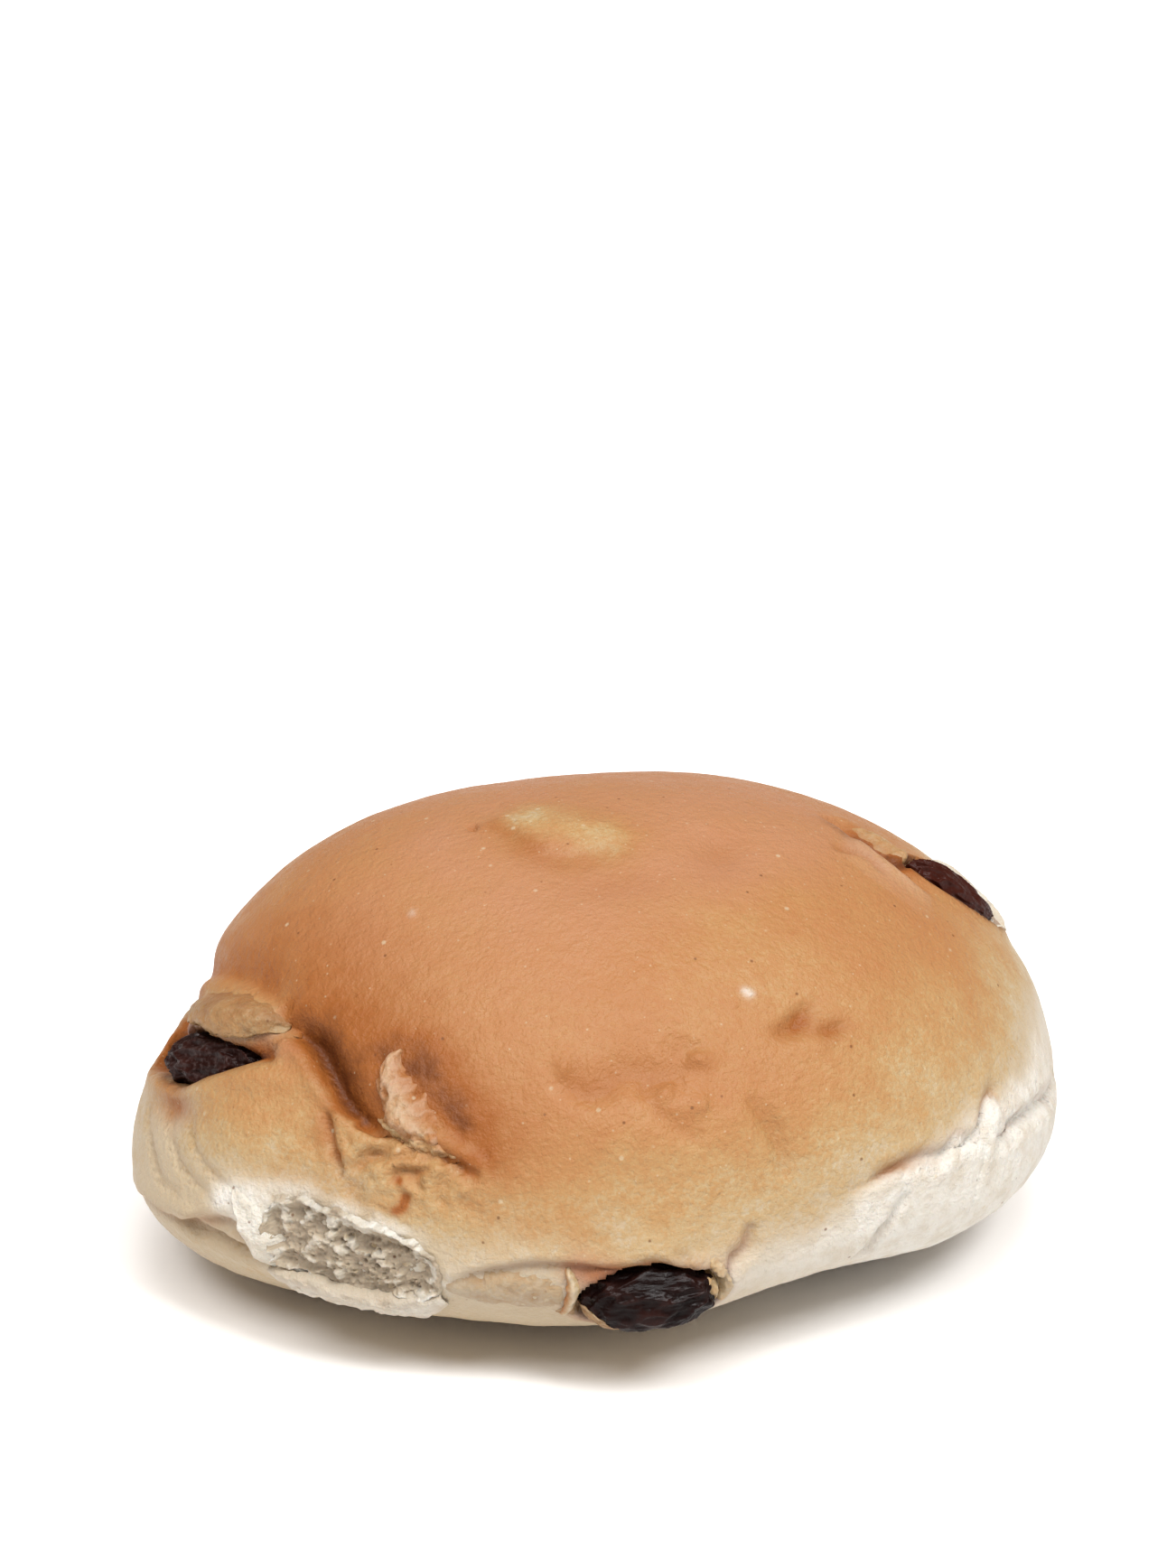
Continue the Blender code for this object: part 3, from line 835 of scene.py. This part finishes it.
def make_raisin_material():
    g = Graph("raisin_skin_dark")
    fold = g.maths("MULTIPLY", g.attribute("fold"), 0.55)
    broad = g.noise(2.5, 3.0)
    grain = g.noise(0.5, 3.0, 0.65, shift=0.2)
    # The hollows between the folds are darker and the crests lighter: painted light and shade.
    depth = g.maths("ADD", fold, g.span(broad, 0.25, 0.75, 0.0, 0.45), clamp=True)
    colour = g.ramp(depth, RAISIN_COLOURS)
    colour = g.mix(g.maths("MULTIPLY", g.attribute("russet"), 0.7), colour, RUSSET)
    # Greyish flecks: the raisin's dusty bloom, and painted highlight.
    bloom = g.maths("MULTIPLY", g.attribute("bloom"), g.span(grain, 0.45, 0.75))
    colour = g.mix(bloom, colour, BLOOM_AND_HIGHLIGHT)
    g.link(colour, g.shader.inputs["Base Color"])
    g.link(g.span(grain, 0.3, 0.7, 0.28, 0.44), g.shader.inputs["Roughness"])
    fine = g.bump(grain, 0.06)
    g.link(g.bump(g.noise(1.3, 4.0, 0.6, shift=0.5), 0.16, fine), g.shader.inputs["Normal"])
    g.set(Specular_IOR_Level=0.08, Coat_Weight=0.04, Coat_Roughness=0.08)
    return g.material


# -------- pieces


def add_object(name, data):
    thing = bpy.data.objects.new(name, data)
    bpy.context.scene.collection.objects.link(thing)
    return thing


def make_piece(name, points, quads, material, masks):
    """A smooth mesh from points in mm, riding on the roll."""
    mesh = bpy.data.meshes.new(name)
    mesh.from_pydata((points * MM).tolist(), [], [list(map(int, quad)) for quad in quads])
    mesh.shade_smooth()
    for mask, values in masks.items():
        layer = mesh.attributes.new(mask, "FLOAT", "POINT")
        layer.data.foreach_set("value", np.asarray(values, dtype=np.float32))
    mesh.materials.append(material)
    piece = add_object(name, mesh)
    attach(piece, "root")
    return piece


def make_skin():
    skin = Skin(SKIN_CELLS)
    low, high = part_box("roll")
    middle = (np.array(low) + np.array(high)) / (2.0 * MM)
    shift = middle - (skin.points.min(0) + skin.points.max(0)) / 2.0
    shift[2] = 0.0
    skin.points += shift
    skin.middle = np.array([0.0, 0.0, GIRTH_HEIGHT]) + shift
    brown_the_crust(skin)
    add_unevenness(skin)
    for groove in GROOVES.values():
        skin.refresh()
        carve_groove(skin, groove)
    for edge in EDGES.values():
        skin.refresh()
        raise_edge(skin, edge)
    skin.refresh()
    for bump in BUMPS.values():
        raise_bump(skin, bump)
    for mask, tints in TINTS.items():
        for route, reach, amount in tints:
            lay_tint(skin, mask, route, reach, amount)
    skin.refresh()
    recess_crumb(skin)
    for berry in BERRIES:
        seat_berry(skin, berry)
    skin.points[:, 2] = pressed_flat(skin.points[:, 2])
    return skin


# -------- loose skin and torn crumb

# A strip of skin: half widths along its spine, lifts above the crust, depth of its wrinkles and
# ragged edges, and finishes. Lifts and finishes are for the upper or left edge, the middle, and
# the lower or right edge.
Ribbon = namedtuple("Ribbon", "spine half lifts wrinkle ragged seed masks")

SHEET = 0.22
RIBBON_STEPS = (72, 30)
BURIED = 0.4
# The hollows of a strip's wrinkles are darkened (painted shade), and flour lies on their crests.
CREASE_SHADE_AND_FLOUR = {"flour": 0.30, "caramel": -0.22}

# Radii in mm: where widths are laid out, where rays start, and what a ray that misses gives.
LAYOUT_RADIUS = 45.0
OUTSIDE = 90.0
MISSED = 40.0

RIBBONS = {
    "raisin_flap": Ribbon([(181.5, 16.4), (185.5, 18.8), (190.5, 20.6), (195, 21.9), (199, 22.8),
        (202.6, 23.2)],
        [0.6, 1.7, 2.4, 2.5, 2, 0.5], (-0.9, 1.1, 0.6), 0.24, 0.45, 1,
        {"bake": (0.5, 0.28, 0.24), "caramel": (0.25, 0.08, 0.06), "stain_and_shade": (0.28, 0.3, 0.14)}),
    "wound_flake": Ribbon([(223.6, 26.2), (223, 24.4), (224, 22.2), (225.8, 20.2), (228.4, 18.2),
        (231, 16.6), (232.6, 15.6)],
        [0.3, 1.2, 2, 2.5, 2.5, 1.9, 0.7], (-0.5, 0.9, -0.4), 0.58, 0.6, 3,
        {"bake": (0.8, 0.45, 0.8), "flour": (0, 0.16, 0.02), "rosy_and_sheen": (0.2, 0.25, 0.2),
         "caramel": (0.34, 0.03, 0.26)}),
    "wound_ridge": Ribbon([(223, 16.8), (226.2, 16.3), (229.4, 15.6), (232.4, 15), (235.4, 14.4)],
        [0.3, 0.8, 1, 0.9, 0.4], (-0.5, 0.4, -0.5), 0.45, 0.35, 4,
        {"bake": (0.6, 0.4, 0.5), "caramel": (0.25, 0, 0.12), "flour": (0, 0.08, 0)}),
    "front_panel": Ribbon([(234.6, -2.6), (238.5, -2.4), (243, -2.2), (247, -2.4), (250.4, -3)],
        [0.9, 2.3, 2.9, 3, 2.2], (-0.4, 0.25, -0.25), 0.22, 0.2, 6,
        {"bake": (0.25, 0.1, 0.1), "flour": (0.1, 0.12, 0.1), "caramel": (0.1, 0.02, 0.1),
         "stain_and_shade": (0.1, 0.18, 0.2)}),
    "front_fold_lip": Ribbon([(250.6, 1.4), (251.4, -1.2), (251, -4), (249.6, -6.6)],
        [0.3, 0.7, 0.8, 0.3], (-0.3, 0.75, 0.35), 0.25, 0.15, 7,
        {"bake": (0.15, 0.05, 0.3), "flour": (0, 0.15, 0), "caramel": (0, 0, 0.35)}),
    "membrane_left": Ribbon([(248.6, -6.2), (251, -5.4), (253.6, -5.6), (256.2, -7.2), (257.8, -9)],
        [0.3, 0.8, 0.9, 0.6, 0.1], (0.15, 0.3, 0.05), 0.2, 0.2, 8,
        {"bake": (0.3, 0.3, 0.3), "flour": (0.1, 0, 0), "stain_and_shade": (0.25, 0.42, 0.6)}),
    "membrane_right": Ribbon([(269, 2), (269.9, -0.4), (270.6, -3), (271.2, -5.6)],
        [0.4, 1.1, 1.3, 0.5], (0.25, 0.4, -0.2), 0.3, 0.35, 9,
        {"bake": (0.15, 0.15, 0.25), "flour": (0.2, 0.1, 0), "stain_and_shade": (0.1, 0, 0.1)}),
    "channel_skin": Ribbon([(354.5, 48), (353.2, 45.8), (351.2, 43.2), (348.8, 41), (346.8, 39.6)],
        [0.3, 1.4, 2, 1.7, 0.5], (-0.3, 0.3, -0.2), 0.18, 0.2, 10,
        {"bake": (0.35, 0.3, 0.35), "caramel": (0.12, 0.18, 0.3)}),
    "skin_behind_raisin": Ribbon([(359.6, 32.6), (0.4, 30.4), (359.8, 27.6), (358, 24.8), (355.8, 22.3),
        (353, 20.4)],
        [0.5, 1.5, 2, 2.1, 1.9, 0.8], (-0.6, 0.85, 0.5), 0.2, 0.45, 11,
        {"bake": (0.25, 0.08, 0), "flour": (0.25, 0.55, 0.9)}),
    "white_ridge": Ribbon([(316.6, 10.6), (315, 8.8), (313.8, 6.8), (312.9, 4.1), (311.6, 0.8),
        (310.6, -2)],
        [0.2, 1, 1.3, 1.3, 1.1, 0.3], (-0.45, 0.3, -0.35), 0.12, 0.15, 12,
        {"flour": (1, 1, 1)}),
    "crumb_side": Ribbon([(207.6, 5), (209.8, 3.4), (211.8, 1.2), (212.8, -1.4), (213.4, -4.2)],
        [0.1, 0.9, 1.7, 1.6, 0.5], (-0.2, 0.35, 0.55), 0.15, 0.25, 14,
        {"bake": (0, 0, 0.05), "flour": (0.85, 0.9, 0.9)}),
    "crumb_ledge": Ribbon([(211.6, -4.9), (214.5, -5.3), (218, -5.9), (222.4, -6.5), (227, -6.8),
        (231, -6.2), (234.6, -4.6)],
        [0.4, 1.2, 1.5, 1.6, 1.6, 1.7, 0.9], (0.3, 1.6, 1.5), 0.35, 0.45, 13,
        {"flour": (0.4, 0.8, 0.7), "crumb": (0.6, 0.2, 0.2)}),
}


class Ground:
    """What loose skin lies on: the crust and the raisins."""

    def __init__(self, skin, meshes):
        self.middle = Vector(skin.middle)
        points, quads = list(map(tuple, skin.points)), [tuple(map(int, quad)) for quad in skin.quads]
        for more_points, more_quads in meshes:
            start = len(points)
            points += list(map(tuple, more_points))
            quads += [tuple(int(k) + start for k in quad) for quad in more_quads]
        self.tree = BVHTree.FromPolygons(points, quads)

    def at(self, direction_row):
        """The outermost point of the ground in a direction from the middle of the dough."""
        outward = Vector(direction_row)
        hit = self.tree.ray_cast(self.middle + outward * OUTSIDE, -outward)[0]
        return np.array(hit if hit is not None else self.middle + outward * MISSED)


def closed_sheet(top, down, rows, columns):
    """Quads of a thin sheet: its grid of top points, the same grid moved down, and its rim."""
    points = np.vstack([top, top + down * SHEET])
    grid = np.arange(rows * columns).reshape(rows, columns)
    under = grid + rows * columns
    quads = [grid_quads(grid, False), grid_quads(under, True)]
    around = np.concatenate([grid[0, :], grid[1:, -1], grid[-1, -2::-1], grid[-2:0:-1, 0]])
    below = around + rows * columns
    following = np.roll(np.arange(len(around)), -1)
    quads.append(np.stack([around, around[following], below[following], below], -1))
    return points, np.concatenate(quads)


def make_ribbon(name, ribbon, ground, material):
    """A strip of loose skin that lies along a spine, wrinkled, with a ragged edge."""
    steps, across = RIBBON_STEPS
    line = spline(ribbon.spine, 12)
    picks = np.linspace(0, len(line) - 1, steps)
    line = unit(np.stack([np.interp(picks, np.arange(len(line)), line[:, k]) for k in range(3)], -1))
    travel = unit(np.gradient(line, axis=0))
    left = unit(np.cross(line, travel))
    half = np.interp(np.linspace(0, 1, steps), np.linspace(0, 1, len(ribbon.half)), ribbon.half)
    part = np.linspace(1, -1, across)
    ends = np.sin(np.pi * np.linspace(0.02, 0.98, steps)) ** 0.3
    base, out = [], []
    for k in range(steps):
        places = [Vector((k * 0.11, edge * 5.0, ribbon.seed)) for edge in (1, -1)]
        ragged = ribbon.ragged * np.array([noise.fractal(place, 1, 2, 3) for place in places])
        width = half[k] + np.where(part > 0, ragged[0], ragged[1]) * np.abs(part)
        rows = unit(line[k] + left[k] * (part * width / LAYOUT_RADIUS)[:, None])
        base += [ground.at(row) for row in rows]
        out += list(rows)
    base, out = np.array(base), np.array(out)
    for _ in range(3):
        grid = base.reshape(steps, across, 3)
        grid[1:-1, 1:-1] = (grid[:-2, 1:-1] + grid[2:, 1:-1] + grid[1:-1, :-2] + grid[1:-1, 2:]) / 4.0
    side = np.tile(part, steps)
    end = np.repeat(ends, across)
    above, middle, below = ribbon.lifts
    lift = middle + (np.where(side > 0, above, below) - middle) * side ** 2
    crease = 1.0 - 2.2 * np.abs(noise_at(base, 1.5, ribbon.seed, 3))
    lift = (lift + BURIED) * end - BURIED + ribbon.wrinkle * crease * end * 0.6
    top = base + out * lift[:, None]
    points, quads = closed_sheet(top, -out, steps, across)
    masks = {}
    for mask in Skin.MASKS:
        above, middle, below = ribbon.masks.get(mask, (0, 0, 0))
        value = middle + (np.where(side > 0, above, below) - middle) * np.abs(side)
        value = value + ribbon.wrinkle * CREASE_SHADE_AND_FLOUR.get(mask, 0.0) * (crease - 0.55)
        masks[mask] = np.tile(np.clip(value, 0, 1), 2)
    return make_piece(name, points, quads, material, masks)


CRUMB_OUTLINE = [
    (211.8, 3.4), (213.4, 5.2), (216.4, 6.0), (219.4, 5.8), (222.4, 5.6), (225.4, 5.2),
    (228.4, 4.6), (231.2, 3.4), (233.8, 1.6), (234.9, -0.9), (234.6, -3.6), (232.6, -4.9), (227.6, -5.4),
    (222.4, -5.3), (218.0, -4.7), (214.2, -4.0), (212.8, -2.0), (212.0, 0.8),
]
CRUMB_STEPS = (190, 110)
CRUMB_MARGIN = 0.8
CRUMB_HOLES = (1.25, 0.62)
CRUMB_FACING = 0.93


def outline_distance(u, v, corners):
    """Distance in mm to a closed outline, positive inside it."""
    best = np.full(len(u), np.inf)
    inside = np.zeros(len(u), dtype=bool)
    for (x0, y0), (x1, y1) in zip(corners, np.roll(corners, -1, axis=0)):
        dx, dy = x1 - x0, y1 - y0
        part = np.clip(((u - x0) * dx + (v - y0) * dy) / (dx * dx + dy * dy), 0, 1)
        best = np.minimum(best, np.hypot(u - x0 - part * dx, v - y0 - part * dy))
        crossing = (y0 > v) != (y1 > v)
        inside ^= crossing & (u < dx * (v - y0) / (dy if dy else 1e-9) + x0)
    return np.where(inside, best, -best)


def patch_frame(outline):
    """A patch laid flat: its middle direction, its level and rising axes, and its corners in mm."""
    rows = np.array([direction(*corner) for corner in outline])
    middle = unit(rows.mean(0))
    east, up = level_and_up(middle)
    flat = rows / (rows @ middle)[:, None] * LAYOUT_RADIUS
    return middle, east, up, np.stack([flat @ east, flat @ up], -1)


def recess_crumb(skin):
    """Opens a shallow recess in the crust for the torn crumb to lie in."""
    middle, east, up, corners = patch_frame(CRUMB_OUTLINE)
    rows = np.nonzero(skin.directions @ middle > CRUMB_FACING)[0]
    flat = skin.directions[rows] / (skin.directions[rows] @ middle)[:, None] * LAYOUT_RADIUS
    inside = outline_distance(flat @ east, flat @ up, corners)
    inside = inside + 0.5 * noise_at(skin.points[rows], 2.2, 23.0, 2)
    skin.push(rows, -0.9 * smooth(0.0, 1.3, inside))
    patchy = smooth(-0.25, 0.35, noise_at(skin.points[rows], 2.6, 25.0, 3))
    skin.paint("flour", rows, 0.6 * patchy * smooth(-1.3, 0.1, inside))
    skin.paint("bake", rows, -0.5 * smooth(-1.6, 0.2, inside))


def make_crumb(ground, material):
    """The torn patch at the front left: open, porous crumb inside a rim of parted skin."""
    middle, east, up, corners = patch_frame(CRUMB_OUTLINE)
    columns, rows = CRUMB_STEPS
    low, high = corners.min(0) - CRUMB_MARGIN, corners.max(0) + CRUMB_MARGIN
    us = np.linspace(low[0], high[0], columns)
    vs = np.linspace(low[1], high[1], rows)
    u, v = [grid.ravel() for grid in np.meshgrid(us, vs, indexing="ij")]
    out = unit(middle * LAYOUT_RADIUS + u[:, None] * east + v[:, None] * up)
    base = np.array([ground.at(row) for row in out])
    inside = outline_distance(u, v, corners) + 0.6 * noise_at(base, 1.5, 21.0, 3)
    stretched = base * np.array([1.0, 1.0, 1.2])
    holes, small = [np.array([noise.voronoi(Vector(point) / size)[0][0] for point in stretched])
                    for size in CRUMB_HOLES]
    rough = noise_at(stretched, 1.7, 22.0, 4)
    torn = noise_at(stretched, 4.0, 24.0, 2)
    open_part = smooth(0.3, 1.5, inside)
    large_pits = -0.9 * smooth(0.40, 0.05, holes) * smooth(-0.3, 0.3, torn)
    pits = open_part * (large_pits - 0.22 * smooth(0.40, 0.10, small))
    rim = (0.22 + 0.25 * torn) * bell(inside, 0.35, 0.35)
    bulk = 0.85 + (0.15 + 0.55 * open_part) * rough + 0.45 * torn + pits + rim
    lift = smooth(-0.25, 0.35, inside) * bulk - BURIED
    top = base + out * lift[:, None]
    points, quads = closed_sheet(top, -out, columns, rows)
    edge = smooth(0.9, 0.2, inside + 0.9 * rough) * smooth(-0.7, 0.3, torn + 0.5 * rough)
    deep = smooth(0.0, -0.6, pits)
    pale = smooth(-0.05, 0.45, rough + 0.4 * torn)
    masks = {mask: np.zeros(2 * len(top)) for mask in Skin.MASKS}
    shown = {
        "crumb": 1.0 - 0.85 * edge - 0.7 * pale,
        "flour": 0.9 * edge + 0.8 * pale,
        # Pits and low places of the crumb are darkened: painted shade.
        "stain_and_shade": 0.20 * deep + 0.14 * smooth(0.0, -0.6, rough),
    }
    for mask, values in shown.items():
        masks[mask] = np.tile(np.clip(values, 0, 1), 2)
    return make_piece("torn_crumb", points, quads, material, masks)


crust_material = make_crust_material()
raisin_material = make_raisin_material()

skin = make_skin()
crust = make_piece("crust", skin.points, skin.quads, crust_material, skin.masks)
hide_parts("roll")

berry_meshes = []
for berry in BERRIES:
    points, quads, folds = berry_points(berry, *berry_frame(berry))
    berry_meshes.append((points, quads))
    count = len(points)
    masks = {"fold": folds, "bloom": np.full(count, berry.bloom), "russet": np.full(count, berry.russet)}
    piece = make_piece(berry.name + "_skin", points, quads, raisin_material, masks)
    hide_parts(berry.name)

ground = Ground(skin, berry_meshes)
for name, ribbon in RIBBONS.items():
    make_ribbon(name, ribbon, ground, crust_material)
make_crumb(ground, crust_material)


# -------- floor, light and camera


FLOOR_HALF = 3.0
FLOOR_WHITE = 0.93
AMBIENT = (1.0, 0.84, 0.72, 1.0)
AMBIENT_STRENGTH = 0.36


def make_floor():
    mesh = bpy.data.meshes.new("floor")
    corners = [(x * FLOOR_HALF, y * FLOOR_HALF, 0) for x, y in ((-1, -1), (1, -1), (1, 1), (-1, 1))]
    mesh.from_pydata(corners, [], [(0, 1, 2, 3)])
    g = Graph("floor_white")
    white = (FLOOR_WHITE, FLOOR_WHITE, FLOOR_WHITE, 1.0)
    g.set(Base_Color=white, Roughness=0.9, Specular_IOR_Level=0.1)
    mesh.materials.append(g.material)
    floor = add_object("floor", mesh)


def make_sun(name, azimuth, elevation, spread, strength):
    """A soft light from far off, spread over an angle."""
    data = bpy.data.lights.new(name, "SUN")
    data.angle = np.radians(spread)
    data.energy = strength
    light = add_object(name, data)
    light.rotation_euler = (-Vector(direction(azimuth, elevation))).to_track_quat("-Z", "Y").to_euler()


def make_world():
    world = bpy.data.worlds.new("studio")
    world.use_nodes = True
    background = world.node_tree.nodes["Background"]
    background.inputs["Color"].default_value = AMBIENT
    background.inputs["Strength"].default_value = AMBIENT_STRENGTH
    bpy.context.scene.world = world


# Turn and lift in degrees, distance and aim in metres, lens and sensor in mm. The roll is moved
# right by a part of the picture's width and down by a part of half its height.
CAMERA_TURN = -13.56
CAMERA_LIFT = 25.0
CAMERA_DISTANCE = 0.300
CAMERA_LENS = 64.0
SENSOR = 36.0
AIM = Vector((0.0021, 0.0008, 0.0200))
AIM_RIGHT = 0.0226
AIM_DOWN = 0.3190
WIDTH_IN_HALF_HEIGHTS = 1.5


def make_camera():
    """Looks past the roll's middle, so that the roll sits low and a little right in the picture."""
    turn, lift = np.radians(CAMERA_TURN), np.radians(CAMERA_LIFT)
    back = Vector((np.sin(turn) * np.cos(lift), -np.cos(turn) * np.cos(lift), np.sin(lift)))
    right = Vector((np.cos(turn), np.sin(turn), 0.0))
    up = right.cross(-back)
    half_height = SENSOR / 2.0 / CAMERA_LENS
    rightward = AIM_RIGHT * half_height * WIDTH_IN_HALF_HEIGHTS
    sight = -back + up * (AIM_DOWN * half_height) - right * rightward
    data = bpy.data.cameras.new("camera")
    data.lens = CAMERA_LENS
    data.sensor_width = SENSOR
    data.clip_start = 0.01
    camera = add_object("camera", data)
    camera.location = AIM + back * CAMERA_DISTANCE
    camera.rotation_euler = sight.to_track_quat("-Z", "Y").to_euler()
    bpy.context.scene.camera = camera


make_floor()
make_sun("right_box", 300, 55, 20, 2.30)
make_sun("left_box", 222, 57, 22, 1.55)
make_sun("ceiling", 262, 73, 26, 1.50)
make_world()
make_camera()
bpy.context.scene.view_settings.view_transform = "Standard"
